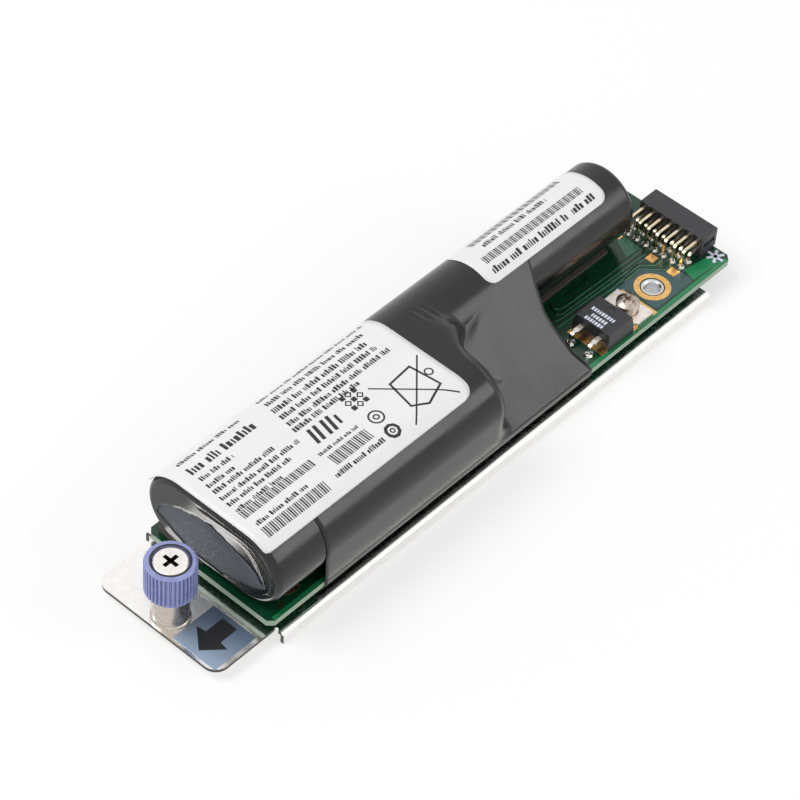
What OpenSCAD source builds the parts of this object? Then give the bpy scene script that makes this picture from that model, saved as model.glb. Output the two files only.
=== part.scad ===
// Backup battery module for a storage controller: three round lithium cells on a
// circuit board, carried by a folded steel tray with a captive thumbscrew.
// Millimetres. +X runs along the tray from the thumbscrew to the connector, +Y is the
// side that carries two cells end to end, +Z is up. The origin is the bottom centre
// of the whole module, at the level of the flanges' lower edges.

/* [Tray] */
// How far each side flange stands out past the board
side_gap = 2; // [1.9:0.1:10]
// How far the board runs out past the tray at the connector
board_overhang = 9.8; // [2:0.2:16]
// Height of the tray, from the flanges' edges to its top face
tray_h = 2.9; // [2.6:0.1:8]
// Thickness of the zinc plated sheet
sheet_t = 0.8; // [0.6:0.1:1]
// Inside radius of the flange bends
bend_r = 0.2; // [0.1:0.05:0.8]
// Width of the front tab
tab_w = 34.2; // [30:0.2:34.6]
// Length of the front tab
tab_len = 16.8; // [15:0.2:30]
// Corner radius of the front tab
tab_r = 3.2; // [1:0.1:5]
// Length of the slits that free the flange bends from the tab
relief_len = 1.2; // [0.6:0.1:2]

/* [Thumbscrew] */
// Distance of the screw's axis from the tab's front edge
screw_setback = 4.4; // [4.2:0.1:6]
// Diameter over the knob's knurls
knob_d = 10.9; // [10.5:0.1:12]
// Height of the knob
knob_h = 9; // [8:0.1:11]
// Number of grooves round the knob
knob_grooves = 38; // [24:1:60]
// Depth of the knob's grooves
groove_depth = 0.45; // [0.2:0.05:0.6]
// Height of the smooth collar under the grooves
knob_collar_h = 0.9; // [0.5:0.1:1.5]
// Diameter of the screw head that shows in the knob
head_d = 7.4; // [6:0.1:8]
// Diameter of the screw's thread
thread_d = 4; // [3:0.1:4.4]
// Length of thread that stands out under the tray when the screw is up
thread_out = 1.8; // [1:0.1:2]
// Outside diameter of the ferrule
ferrule_d = 7.8; // [7.2:0.1:8]
// Height of the ferrule over the tray
ferrule_h = 8.6; // [8:0.1:9.5]
// Diameter of the ferrule's foot ring
ferrule_foot_d = 8.4; // [8:0.1:8.4]
// Height of the ferrule's foot ring
ferrule_foot_h = 1; // [0.6:0.1:1.5]
// How far the knob can be pressed down
screw_travel = 4.2; // [2:0.1:4.2]
// Wire diameter of the spring
spring_wire = 0.4; // [0.25:0.05:0.5]
// Turns of the spring
spring_turns = 4; // [3:0.5:4]

/* [Circuit board] */
// Length of board behind the rear cell, for the connector
board_rear = 14.3; // [12.8:0.1:40]
// Width of the board
board_w = 35; // [33:0.2:36.6]
// Thickness of the board
board_t = 1.6; // [1:0.1:2.4]
// Height of the board over the tray
board_gap = 1.6; // [1.5:0.1:4]
// Distance of the board's front edge from the tab's front edge
board_setback = 15.1; // [13:0.1:18]
// Chamfer of the board's corners
board_chamfer = 1.2; // [0.5:0.1:2]
// Distance of the front standoffs from the board's front edge
standoff_front = 9.9; // [7:0.1:11]
// Distance of the rear standoffs from the board's connector edge
standoff_rear = 20; // [18:0.1:22]
// Distance between the two rows of standoffs
standoff_pitch = 21.8; // [20:0.2:23]
// Thread bore of the standoffs
standoff_bore_d = 3.6; // [2.5:0.1:4]
// Diameter of the standoffs where they pass through the board
standoff_d = 5.1; // [4.6:0.1:5.6]
// Diameter of the standoffs' shoulder under the board
shoulder_d = 7; // [6:0.1:8]
// Outside diameter of the gold rings round the holes
ring_d = 8.4; // [7:0.1:9]
// Thickness of the plated pads
pad_t = 0.08; // [0.05:0.01:0.12]

/* [Connector] */
// Contacts in a row
contacts = 7; // [4:1:9]
// Contact pitch
pitch = 2.54; // [2:0.01:2.54]
// Depth of the connector housing
housing_depth = 5.4; // [5:0.1:8]
// Height of the housing without its feet
housing_h = 5.1; // [5.1:0.1:7]
// Height of the feet under the housing
housing_foot = 0.5; // [0.3:0.1:1]
// Overhang of the housing past the board
housing_overhang = 0.2; // [0:0.1:1.5]
// Side of the square contacts
contact_side = 0.64; // [0.4:0.02:0.7]
// Distance of the connector's middle from the tray's centre line, towards -Y
connector_y = 3.6; // [2:0.1:5]
// Bend radius of the contacts, at their middle
contact_bend = 1; // [0.7:0.05:1.2]

/* [Power resistor] */
// Distance of the resistor's body from the board's connector edge
resistor_back = 42.5; // [40:0.1:44]
// Distance of the resistor's middle from the board's near edge
resistor_side = 5.85; // [5.4:0.05:7]
// Width of the resistor's body
resistor_w = 10.2; // [9.8:0.1:10.4]
// Length of the resistor's body
resistor_l = 8.6; // [8:0.1:9.5]
// Height of the resistor's body
resistor_h = 4.5; // [4.2:0.1:5]
// Thickness of the resistor's metal tab
heat_tab_t = 1.27; // [1:0.01:1.4]
// Length of the metal tab past the body
heat_tab_l = 6.9; // [6.4:0.1:8]
// Distance between the two leads
lead_pitch = 5.08; // [4:0.02:5.4]

/* [Cells] */
// Diameter of a cell
cell_d = 18.2; // [16:0.1:18.5]
// Length of a cell
cell_l = 65.2; // [60:0.1:66]
// Distance between the axes of the two front cells
cell_pitch = 18.5; // [18.5:0.1:19]
// Distance of the pack's front face from the board's front edge
pack_setback = 0.8; // [0.5:0.1:2]
// Thickness of the nickel links
link_t = 0.2; // [0.1:0.05:0.3]
// Width of the nickel links
link_w = 6; // [4:0.1:8]
// Thickness of the insulating boards at the cell ends
insulator_t = 0.3; // [0.2:0.05:0.5]
// Thickness of foam between the pack's lowest line and the board
foam_t = 0.95; // [0.6:0.05:3]
// Height of the foam cradles at their sides
cradle_h = 3.4; // [2:0.1:5]
// Width of the foam cradles
cradle_w = 18.6; // [12:0.2:20]

/* [Sleeves and labels] */
// Thickness of the shrink sleeves round the cells
sleeve_t = 0.12; // [0.08:0.01:0.2]
// Thickness of the outer film
film_t = 0.15; // [0.1:0.01:0.25]
// Distance from the pack's front face to the outer film
film_start = 13.8; // [12:0.1:20]
// Distance of the outer film's rear edge from the board's connector end
film_back = 47.4; // [47.2:0.1:60]
// Length over which the outer film falls past the end of the near cell
film_fall = 12; // [8:0.5:16]
// Length of the rating label
label_l = 62; // [40:0.5:62]
// Thickness of the labels
label_t = 0.08; // [0.05:0.01:0.12]
// Length of the small label on the rear cell
small_label_l = 41.5; // [30:0.5:45]
// Distance of the small label from the pack's rear face
small_label_back = 6.8; // [5:0.1:15]
// Side of the square sticker on the tab
sticker_side = 11.8; // [8:0.1:12]
// Width of the lens-shaped opening in the folded front end of the sleeve
lens_w = 26.8; // [18:0.2:28]
// Height of the lens-shaped opening
lens_h = 9.2; // [5:0.1:11]
// Depth of the fold where the sleeve turns over the pack's ends
fold_r = 1.6; // [0.6:0.1:2.5]

/* [Hidden] */
$fn = 64;

// Gaps: slip between pieces that fit together, run where one turns or slides in another
slip = 0.05;
run = 0.15;
cell_gap = 0.03;
over = 1; // how far cutting shapes run past the faces that they cut

// Heights
sheet_z = tray_h - sheet_t;
board_z0 = tray_h + board_gap;
board_z1 = board_z0 + board_t;
pad_z = board_z1 + pad_t;
sleeve_r = cell_d / 2 + cell_gap + sleeve_t;
cell_z = board_z1 + foam_t + sleeve_r;
film_in_r = sleeve_r + slip;
label_in_r = film_in_r + film_t + slip;
tail_below = 0.9; // how far leads stand out under the board

// Lengths, counted from the tab's front edge
board_x0 = board_setback;
pack_x0 = board_x0 + pack_setback;
front_cell_x0 = pack_x0 + sleeve_t + insulator_t + link_t;
front_cell_x1 = front_cell_x0 + cell_l;
middle_gap = 1.8; // between the cells that stand end to end
rear_cell_x0 = front_cell_x1 + middle_gap;
rear_cell_x1 = rear_cell_x0 + cell_l;
pack_x1 = rear_cell_x1 + link_t + insulator_t + sleeve_t;
board_x1 = pack_x1 + board_rear;
board_l = board_x1 - board_x0;
tray_end = board_x1 - board_overhang;
tray_w = board_w + 2 * side_gap;
flange_len = tray_end - tab_len;
standoff_xs = [board_x0 + standoff_front, board_x1 - standoff_rear];
housing_x1 = board_x1 + housing_overhang;
housing_x0 = housing_x1 - housing_depth;
film_x0 = pack_x0 + film_start;
film_x1 = board_x1 - film_back;
cell_y = cell_pitch / 2;
x_min = min(0, screw_setback - knob_d / 2);
x_max = max(tray_end, housing_x1);
x_mid = (x_min + x_max) / 2;

// Thumbscrew, counted from the tray's top face
ferrule_top = tray_h + ferrule_h;
lip_t = 0.7;
clip_t = 0.5;
clip_z = ferrule_top - lip_t - slip - clip_t;
shank_r = 1.6;
groove_r = 1.3;
ferrule_wall = 0.9;
ferrule_edge = 0.4; // chamfer round the ferrule's top
clinch_step = 0.6; // how much the pressed-in foot is set back from the ferrule's side
cavity_r = ferrule_d / 2 - ferrule_wall;
clip_r = cavity_r - run;
neck_r = thread_d / 2 + run;
clinch_r = ferrule_d / 2 - clinch_step;
spring_r = (shank_r + clip_r) / 2;
spring_z0 = tray_h + ferrule_foot_h;
thread_l = 5.5;
undercut_w = 0.5; // groove that parts the lead thread from the stretch in the ferrule
knob_skirt = 0.5; // how far the knob hides the ferrule when it is up
knob_z0 = ferrule_top - knob_skirt;
knob_z1 = knob_z0 + knob_h;
knob_bore_r = ferrule_d / 2 + 0.3;
thread_lead = 0.5; // chamfer at the screw's tip
head_t = 2;
head_gap = 0.15;

module place() { translate([-x_mid, 0, 0]) children(); }
module along_x(x, l) { translate([x, 0, 0]) rotate([90, 0, 90]) linear_extrude(l) children(); }
module revolve_x(x) { translate([x, 0, 0]) rotate([0, 90, 0]) rotate_extrude() children(); }
module each_standoff() {
    for (x = standoff_xs, s = [-1, 1]) translate([x, s * standoff_pitch / 2, 0]) children();
}

// ---- Tray ----

// Outline of the flat sheet: a rounded tab, two relief slits and the flanged stretch
module tray_plan(w) {
    for (s = [-1, 1]) translate([tab_r, s * (tab_w / 2 - tab_r)]) circle(tab_r);
    translate([tab_r, -tab_w / 2]) square([tab_len + relief_len - tab_r, tab_w]);
    translate([0, tab_r - tab_w / 2]) square([tab_r, tab_w - 2 * tab_r]);
    translate([tab_len, -w / 2]) square([flange_len, w]);
}

// One side of the folded section: the outer corner is rounded, the inner one too
module flange_section() {
    r = bend_r + sheet_t;
    difference() {
        union() {
            translate([0, tray_h - r]) square([tray_w / 2 - r, r]);
            translate([tray_w / 2 - r, 0]) square([r, tray_h - r]);
            translate([tray_w / 2 - r, tray_h - r]) circle(r);
        }
        translate([-over, -over]) square([tray_w / 2 - sheet_t + over, tray_h - r + over]);
        translate([-over, -over]) square([tray_w / 2 - r + over, tray_h - sheet_t + over]);
        translate([tray_w / 2 - r, tray_h - r]) circle(bend_r);
    }
}

module tray() {
    color("#c9c8c4") place() difference() {
        union() {
            translate([0, 0, sheet_z]) linear_extrude(sheet_t) intersection() {
                tray_plan(tray_w);
                square([2 * tray_end, max(tab_w, tray_w - 2 * (bend_r + sheet_t))], center = true);
            }
            along_x(tab_len, flange_len) for (m = [0, 1]) mirror([m, 0]) flange_section();
        }
        for (s = [-1, 1]) translate([tab_len, s * (tab_w / 2 + 0.4), 0])
            cylinder(r = 0.5, h = 2 * tray_h);
        each_standoff() cylinder(r = standoff_d / 2 + slip, h = 2 * tray_h);
        translate([screw_setback, 0, 0]) cylinder(r = clinch_r + slip, h = 2 * tray_h);
    }
}

// Shouldered spacers pressed into the tray: the board drops over them
module standoffs() {
    color("#cfd0d2") place() each_standoff() difference() {
        union() {
            translate([0, 0, sheet_z]) cylinder(d = standoff_d, h = board_z1 - sheet_z);
            translate([0, 0, tray_h]) cylinder(d = shoulder_d, h = board_gap);
        }
        translate([0, 0, sheet_z - over]) cylinder(d = standoff_bore_d, h = board_z1);
        translate([0, 0, board_z1 - 0.3])
            cylinder(d1 = standoff_bore_d, d2 = standoff_bore_d + 1.2, h = 0.6);
    }
}

// ---- Thumbscrew ----

module at_screw() { place() translate([screw_setback, 0, 0]) children(); }

// Pressed-in ferrule: foot ring, body, a neck below and a rolled lip on top
module ferrule() {
    color("#b9aea2") at_screw() difference() {
        union() {
            translate([0, 0, sheet_z]) cylinder(r = clinch_r, h = sheet_t + over);
            translate([0, 0, tray_h]) cylinder(d = ferrule_foot_d, h = ferrule_foot_h * 0.6);
            translate([0, 0, tray_h + ferrule_foot_h * 0.6])
                cylinder(d1 = ferrule_foot_d, d2 = ferrule_d, h = ferrule_foot_h * 0.4);
            translate([0, 0, tray_h]) cylinder(d = ferrule_d, h = ferrule_h - ferrule_edge);
            translate([0, 0, ferrule_top - ferrule_edge])
                cylinder(r1 = ferrule_d / 2, r2 = ferrule_d / 2 - ferrule_edge, h = ferrule_edge);
        }
        translate([0, 0, sheet_z - over]) cylinder(r = neck_r, h = 2 * over + ferrule_h);
        translate([0, 0, spring_z0]) cylinder(r = cavity_r, h = ferrule_top - lip_t - spring_z0);
    }
}

// Knurled knob: grooves cut by a ring of round bars, a skirt that slides over the ferrule
module knob() {
    r = knob_d / 2;
    color("#8f93bd") at_screw() difference() {
        union() {
            translate([0, 0, knob_z0 + 0.3]) cylinder(r = r - 0.5, h = knob_collar_h);
            translate([0, 0, knob_z0]) cylinder(r1 = r - 0.8, r2 = r - 0.5, h = 0.3);
            translate([0, 0, knob_z0 + knob_collar_h]) linear_extrude(knob_h - knob_collar_h - 0.3)
                knurl_section(r);
            translate([0, 0, knob_z1 - 0.3]) cylinder(r1 = r - 0.1, r2 = r - 0.4, h = 0.3);
        }
        translate([0, 0, knob_z0 - over])
            cylinder(r = knob_bore_r, h = over + knob_skirt + screw_travel + 0.4);
        translate([0, 0, knob_z0]) cylinder(r = shank_r + slip / 2, h = knob_h);
        translate([0, 0, knob_z1 - head_t]) cylinder(d = head_d + 2 * head_gap, h = 2 * head_t);
    }
}

// Star of flat-bottomed grooves, worked out from the number of grooves
module knurl_section(r) {
    pitch_a = 360 / knob_grooves;
    polygon([for (i = [0 : knob_grooves - 1], k = [0 : 3])
        let (a = (i + [0, 0.42, 0.56, 0.86][k]) * pitch_a, q = k < 2 ? r : r - groove_depth)
        [q * cos(a), q * sin(a)]]);
}

// Screw: recessed head, shank with a clip groove, thread at the tip
module captive_screw() {
    tip = sheet_z - thread_out;
    color("#e2ddd8") at_screw() difference() {
        union() {
            translate([0, 0, knob_z1 - head_t]) cylinder(d = head_d, h = head_t - 0.3);
            translate([0, 0, knob_z1 - 0.3]) cylinder(d1 = head_d, d2 = head_d - 0.6, h = 0.2);
            translate([0, 0, tip + thread_l]) cylinder(r = shank_r, h = clip_z - tip - thread_l);
            translate([0, 0, clip_z - over]) cylinder(r = groove_r, h = clip_t + 2 * over);
            translate([0, 0, clip_z + clip_t + slip / 2])
                cylinder(r = shank_r, h = knob_z1 - head_t - clip_z - clip_t);
            translate([0, 0, tip]) cylinder(d1 = thread_d - 1, d2 = thread_d, h = thread_lead);
            translate([0, 0, tip + thread_lead]) cylinder(d = thread_d, h = thread_out - thread_lead);
            translate([0, 0, sheet_z - over]) cylinder(r = shank_r, h = 2 * over);
            translate([0, 0, sheet_z + undercut_w])
                cylinder(d = thread_d, h = thread_l - thread_out - undercut_w);
        }
        translate([0, 0, knob_z1]) cross_recess(3.8, 0.95, 1.3);
    }
}

// Cross recess that tapers to its floor
module cross_recess(w, t, depth) {
    for (a = [0, 90]) rotate([0, 0, a]) rotate([90, 0, 0]) translate([0, 0, -t / 2])
        linear_extrude(t) polygon([[-w / 2, over], [-w / 2, -0.3], [-w / 4, -depth],
                                   [w / 4, -depth], [w / 2, -0.3], [w / 2, over]]);
}

// Open clip in the screw's groove: it stops under the ferrule's lip
module retaining_ring() {
    color("#a8a8a8") at_screw() translate([0, 0, clip_z + slip / 2]) difference() {
        cylinder(r = clip_r, h = clip_t - slip / 2);
        translate([0, 0, -over]) cylinder(r = groove_r + slip / 2, h = 3 * over);
        translate([0, -groove_r * 0.8, -over]) cube([2 * clip_r, groove_r * 1.6, 3 * over]);
    }
}

// Compression spring: a round wire swept along a helix
module screw_spring() {
    w = spring_wire / 2;
    steps = 16 * spring_turns;
    sides = 8;
    z0 = spring_z0 + w + slip;
    rise = clip_z - spring_z0 - spring_wire - 2 * slip;
    pts = [for (i = [0 : steps], k = [0 : sides - 1])
        let (a = i / 16 * 360, b = k * 360 / sides, q = spring_r + w * cos(b))
        [q * cos(a), q * sin(a), z0 + rise * i / steps + w * sin(b)]];
    skin = [for (i = [0 : steps - 1], k = [0 : sides - 1])
        let (n = (k + 1) % sides) each
        [[i * sides + k, (i + 1) * sides + k, (i + 1) * sides + n],
         [i * sides + k, (i + 1) * sides + n, i * sides + n]]];
    caps = [[for (k = [0 : sides - 1]) k],
            [for (k = [sides - 1 : -1 : 0]) steps * sides + k]];
    color("#9a9a9a") at_screw() polyhedron(pts, concat(skin, caps), convexity = 8);
}

// ---- Circuit board and what is soldered to it ----

lead_foot = 3.6; // from the resistor's body back to its leads' feet
resistor_x = board_x1 - resistor_back;
resistor_y = resistor_side - board_w / 2;
heat_hole_x = resistor_x + resistor_l + heat_tab_l / 2 + 0.6;
nut_screw_r = 1.5;
test_pad_w = 2.2;
test_pad_back = 13; // from the board's connector edge
test_pad_sides = [6.4, 12.5]; // from the board's near edge
contact_foot = 2.66; // from the housing back to the inner row's feet
contact_hole_r = contact_side * 0.7071 + slip;
row_z = [for (s = [-1, 1]) board_z1 + housing_foot + housing_h / 2 + s * pitch / 2];
foot_xs = [housing_x0 - contact_foot, housing_x0 - contact_foot - pitch];

module each_contact() {
    for (i = [0 : contacts - 1])
        translate([0, -connector_y + (i - (contacts - 1) / 2) * pitch, 0]) children();
}
module each_lead() {
    for (s = [-1, 1]) translate([resistor_x - lead_foot, resistor_y + s * lead_pitch / 2, 0])
        children();
}

module board_plan() {
    c = board_chamfer;
    h = board_w / 2;
    translate([board_x0, 0]) polygon([[c, -h], [board_l - c, -h], [board_l, c - h],
        [board_l, h - c], [board_l - c, h], [c, h], [0, h - c], [0, c - h]]);
}

module circuit_board() {
    color("#0f4a2c") place() translate([0, 0, board_z0]) linear_extrude(board_t) difference() {
        board_plan();
        each_standoff() circle(standoff_d / 2 + 4 * slip);
        for (x = foot_xs) translate([x, 0]) each_contact() circle(contact_hole_r);
        each_lead() circle(0.55);
        translate([heat_hole_x, resistor_y]) circle(nut_screw_r + run);
    }
}

// Plated copper: rings round the standoffs, test pads, the resistor's heat pad, link pads
module gold_pads() {
    heat_x0 = resistor_x - 1.6;
    heat_x1 = resistor_x + resistor_l + heat_tab_l + 1.7;
    color("#e3b96c") place() translate([0, 0, board_z1]) linear_extrude(pad_t) {
        each_standoff() difference() {
            circle(d = ring_d);
            circle(standoff_d / 2 + 6 * slip);
        }
        for (y = test_pad_sides) translate([board_x1 - test_pad_back, y - board_w / 2])
            square(test_pad_w, center = true);
        difference() {
            translate([heat_x0, resistor_y - 5.05]) square([heat_x1 - heat_x0, 10.1]);
            translate([heat_hole_x, resistor_y]) circle(nut_screw_r + 4 * slip);
        }
        for (p = link_feet) translate(p) square([2.4, 5], center = true);
    }
}

module connector_housing() {
    w = contacts * pitch;
    z0 = board_z1 + housing_foot;
    color("#2c2c2c") place() difference() {
        union() {
            translate([housing_x0, -connector_y - w / 2, z0]) cube([housing_depth, w, housing_h]);
            for (s = [-1, 1]) translate([housing_x0, -connector_y + s * (w / 2 - 0.6) - 0.6, board_z1])
                cube([board_x1 - housing_x0 - 0.4, 1.2, housing_foot]);
            for (i = [1 : contacts - 1])
                translate([housing_x0 - 0.3, -connector_y - w / 2 + i * pitch - 0.25, z0 + pitch])
                    cube([0.3, 0.5, housing_h - pitch]);
        }
        for (z = row_z) translate([0, 0, z]) each_contact() {
            translate([housing_x1 - 3.2, -0.5, -0.5]) cube([3.2 + over, 1, 1]);
            translate([housing_x1 - 0.35, -0.75, -0.75]) cube([over, 1.5, 1.5]);
            translate([housing_x0 - over, -contact_side / 2 - slip, -contact_side / 2 - slip])
                cube([over + 0.8, contact_side + 2 * slip, contact_side + 2 * slip]);
        }
        for (s = [-1, 1])
            translate([housing_x0 + housing_depth / 2, -connector_y + s * w / 2, z0 + housing_h / 2])
                cube([housing_depth - 1.6, 0.7, 1.2], center = true);
    }
}

// Square wire that leaves the housing, turns down and passes through the board
module bent_wire(x_start, x_foot, z, r, w, t) {
    translate([x_foot + r, -w / 2, z - t / 2]) cube([x_start - x_foot - r, w, t]);
    translate([x_foot + r, 0, z - r]) rotate([90, 0, 0]) rotate([0, 0, 90])
        rotate_extrude(angle = 90) translate([r - t / 2, -w / 2]) square([t, w]);
    translate([x_foot - t / 2, -w / 2, board_z0 - tail_below])
        cube([t, w, z - r - board_z0 + tail_below]);
}

module contact_row(i) {
    color("#d8cdb8") place() each_contact()
        bent_wire(housing_x0 + 0.7, foot_xs[i], row_z[i], contact_bend, contact_side, contact_side);
}
module upper_contacts() { contact_row(1); }
module lower_contacts() { contact_row(0); }

// Cone of solder round a lead, over and under the board
module solder_cone(r, hole) {
    h = 0.5;
    for (m = [0, 1]) translate([0, 0, m == 0 ? board_z1 : board_z0]) mirror([0, 0, m])
        difference() {
            cylinder(r1 = r, r2 = hole + 0.15, h = h);
            translate([0, 0, -over]) cylinder(r = hole, h = 3 * over);
        }
}
module solder_joints() {
    color("#cfcabf") place() {
        for (x = foot_xs) translate([x, 0, 0]) each_contact() solder_cone(0.95, contact_hole_r);
        each_lead() solder_cone(1.1, 0.55);
    }
}

// ---- Power resistor, laid flat on its heat pad ----

module resistor_body() {
    inset = 0.35;
    low = 2;
    color("#2b2b2e") place() translate([resistor_x, resistor_y - resistor_w / 2, pad_z])
        difference() {
            hull() {
                cube([resistor_l, resistor_w, low]);
                translate([inset, inset, 0])
                    cube([resistor_l - 2 * inset, resistor_w - 2 * inset, resistor_h]);
            }
            translate([1, 0.8 - slip, -over])
                cube([resistor_l, resistor_w - 1.6 + 2 * slip, heat_tab_t + slip + over]);
            translate([resistor_l - 2.2, resistor_w / 2, resistor_h - 0.12]) cylinder(r = 1.1, h = 1);
            for (s = [-1, 1]) translate([-over, resistor_w / 2 + s * lead_pitch / 2 - 0.7, 2.1])
                cube([over + 0.9, 1.4, 0.6]);
        }
}

module resistor_tab() {
    h = resistor_w / 2;
    x0 = resistor_x + 1 + slip;
    x1 = resistor_x + resistor_l + slip;
    x2 = resistor_x + resistor_l + heat_tab_l;
    color("#c8c4be") place() translate([0, resistor_y, pad_z]) linear_extrude(heat_tab_t)
        difference() {
            union() {
                translate([x0, 0.8 - h]) square([x2 - x0, resistor_w - 1.6]);
                translate([x1, -h]) square([x2 - x1, resistor_w]);
            }
            for (s = [-1, 1]) translate([x1 + 0.9, s * h]) circle(0.75);
            translate([heat_hole_x, 0]) circle(nut_screw_r + 0.3);
        }
}

module resistor_leads() {
    z = pad_z + 2.4;
    x0 = resistor_x - lead_foot;
    color("#d9d6d0") place() each_lead() translate([-x0, 0, 0]) {
        bent_wire(resistor_x + 0.8, x0, z, 0.9, 0.8, 0.5);
        translate([x0 + 1.4, -0.63, z - 0.25]) cube([lead_foot - 0.6, 1.26, 0.5]);
    }
}

// Pan head screw that clamps the metal tab to the board
module resistor_screw() {
    z0 = pad_z + heat_tab_t + washer_t;
    color("#b9aca0") place() translate([heat_hole_x, resistor_y, 0]) difference() {
        union() {
            translate([0, 0, z0]) cylinder(r = 2.65, h = 1.2);
            translate([0, 0, z0 + 1.2]) intersection() {
                cylinder(r = 2.65, h = 0.9);
                translate([0, 0, -3.9]) sphere(r = 4.715);
            }
            translate([0, 0, board_z0 - 1.3]) cylinder(r = nut_screw_r, h = z0 - board_z0 + 1.5);
        }
        translate([0, 0, z0 + 2]) cross_recess(3, 0.75, 1.2);
    }
}

washer_t = 0.6;
module lock_washer() {
    color("#a7a29b") place() translate([heat_hole_x, resistor_y, pad_z + heat_tab_t]) difference() {
        cylinder(r = 2.45, h = washer_t);
        translate([0, 0, -over]) cylinder(r = nut_screw_r + slip, h = 3 * over);
        rotate([0, 0, 200]) translate([0, -0.2, -over]) cube([4, 0.4, 3 * over]);
    }
}

module resistor_nut() {
    nut_h = 1.2;
    color("#bdb8ad") place() translate([heat_hole_x, resistor_y, board_z0 - nut_h]) difference() {
        cylinder(r = 2.9, h = nut_h, $fn = 6);
        translate([0, 0, -over]) cylinder(r = nut_screw_r + slip, h = nut_h + 2 * over);
    }
}

// ---- Cells ----

button_r = 3.2;
button_h = 0.6;

// Round cell with its raised end at x0, a crimp groove behind it, the can's floor at the far end
module cell(x0, l, flip) {
    r = cell_d / 2;
    translate([flip ? x0 + l : x0, 0, cell_z]) mirror([flip ? 1 : 0, 0, 0])
        rotate([0, 90, 0]) rotate_extrude() polygon([[0, 0], [button_r, 0], [button_r, button_h],
            [r - 0.8, button_h], [r, button_h + 0.8], [r, 3.2], [r - 0.6, 3.6], [r - 0.6, 4.2],
            [r, 4.6], [r, l - 0.8], [r - 0.8, l], [0, l]]);
}
module near_cell() { color("#3e6f9e") place() translate([0, -cell_y, 0]) cell(front_cell_x0, cell_l, false); }
module far_cell() { color("#3e6f9e") place() translate([0, cell_y, 0]) cell(front_cell_x0, cell_l, false); }
module rear_cell() { color("#3e6f9e") place() translate([0, cell_y, 0]) cell(rear_cell_x0, cell_l, true); }

// ---- Nickel links between the cells and down to the board ----

tail_y = 0; // the front link's tail lies in the valley between the front cells
tail_w = 4;
tail_z = cell_z - sleeve_r + fold_r + slip; // clear of the sleeve's fold
tail_x = front_cell_x1 + middle_gap / 2;
rear_leg_x = rear_cell_x1;
link_feet = [[tail_x - 0.9, tail_y], [front_cell_x1 + 0.9, cell_y], [rear_leg_x, cell_y]];

module link_plate(x, y0, y1) {
    along_x(x, link_t) {
        for (y = [y0, y1]) translate([y, cell_z]) circle(d = link_w);
        translate([y0, cell_z - link_w / 2]) square([y1 - y0, link_w]);
    }
}

module front_link() {
    x0 = front_cell_x0 - link_t;
    color("#cfcfca") place() {
        link_plate(x0, -cell_y, cell_y);
        translate([x0, -tail_w / 2, tail_z]) cube([link_t, tail_w, cell_z - tail_z]);
        translate([x0, -tail_w / 2, tail_z]) cube([tail_x - x0, tail_w, link_t]);
        translate([tail_x - link_t, -tail_w / 2, pad_z]) cube([link_t, tail_w, tail_z - pad_z]);
    }
}

module middle_link() {
    z0 = cell_z - cell_d / 2 - 0.05;
    x1 = rear_cell_x0 - link_t;
    color("#cfcfca") place() {
        link_plate(front_cell_x1, -cell_y, cell_y);
        translate([front_cell_x1, cell_y - tail_w / 2, pad_z]) cube([link_t, tail_w, cell_z - pad_z]);
        link_plate(x1, cell_y - 0.01, cell_y + 0.01);
        translate([x1, cell_y - tail_w / 2, z0]) cube([link_t, tail_w, cell_z - z0]);
        translate([front_cell_x1, cell_y - tail_w / 2, z0 - link_t])
            cube([middle_gap, tail_w, link_t]);
    }
}

module rear_link() {
    color("#cfcfca") place() {
        link_plate(rear_cell_x1, cell_y - 0.01, cell_y + 0.01);
        translate([rear_cell_x1, cell_y - tail_w / 2, pad_z]) cube([link_t, tail_w, cell_z - pad_z]);
    }
}

// ---- Insulating boards, foam and sleeves ----

insulator_r = sleeve_r - fold_r - slip;
module stadium(r) {
    for (s = [-1, 1]) translate([s * cell_y, cell_z]) circle(r);
    translate([-cell_y, cell_z - r]) square([cell_pitch, 2 * r]);
}

module front_insulator() {
    color("#565d6b") place() along_x(pack_x0 + sleeve_t, insulator_t) stadium(insulator_r);
}
module middle_insulator() {
    color("#565d6b") place() along_x(front_cell_x1 + link_t, middle_gap - 2 * link_t)
        translate([cell_y, cell_z]) circle(insulator_r);
}
module rear_insulator() {
    color("#565d6b") place() along_x(rear_cell_x1 + link_t, insulator_t)
        translate([cell_y, cell_z]) circle(insulator_r);
}

// Foam strips between the sleeves and the board, hollowed to the sleeves' curve
module foam_cradles() {
    ends = 0.6;
    color("#4d4641") place() {
        difference() {
            along_x(pack_x0 + ends, front_cell_x1 - pack_x0 - 2 * ends) cradle(cell_y, cradle_w / 2 - 3);
            cradle_cut();
        }
        difference() {
            along_x(film_x0 + ends, front_cell_x1 - film_x0 - 2 * ends) cradle(-cell_y, 4);
            cradle_cut();
        }
        difference() {
            along_x(rear_cell_x0 + 2, cell_l - 6) cradle(cell_y, cradle_w / 2 - 3);
            cradle_cut();
        }
    }
}
module cradle(y, half) { translate([y - half, pad_z]) square([2 * half, cradle_h]); }
module cradle_cut() { along_x(0, tray_end * 1.2) stadium(sleeve_r + slip); }

// Point of a convex outline that lies furthest in direction a: each shape is [y, z, radius]
function furthest(shapes, a) =
    let (reach = [for (s = shapes) s[0] * cos(a) + s[1] * sin(a) + s[2]],
         best = shapes[search(max(reach), reach)[0]])
    [best[0] + best[2] * cos(a), best[1] + best[2] * sin(a)];

// Closed tube wall through rings of points: outer rings first, then inner ones, same count
function tube_faces(n, m) = [for (i = [0 : m - 1], k = [0 : n - 1])
    let (j = (i + 1) % m, l = (k + 1) % n, a = i * n + k, b = j * n + k, c = j * n + l, d = i * n + l)
    each [[a, b, c], [a, c, d]]];
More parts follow.
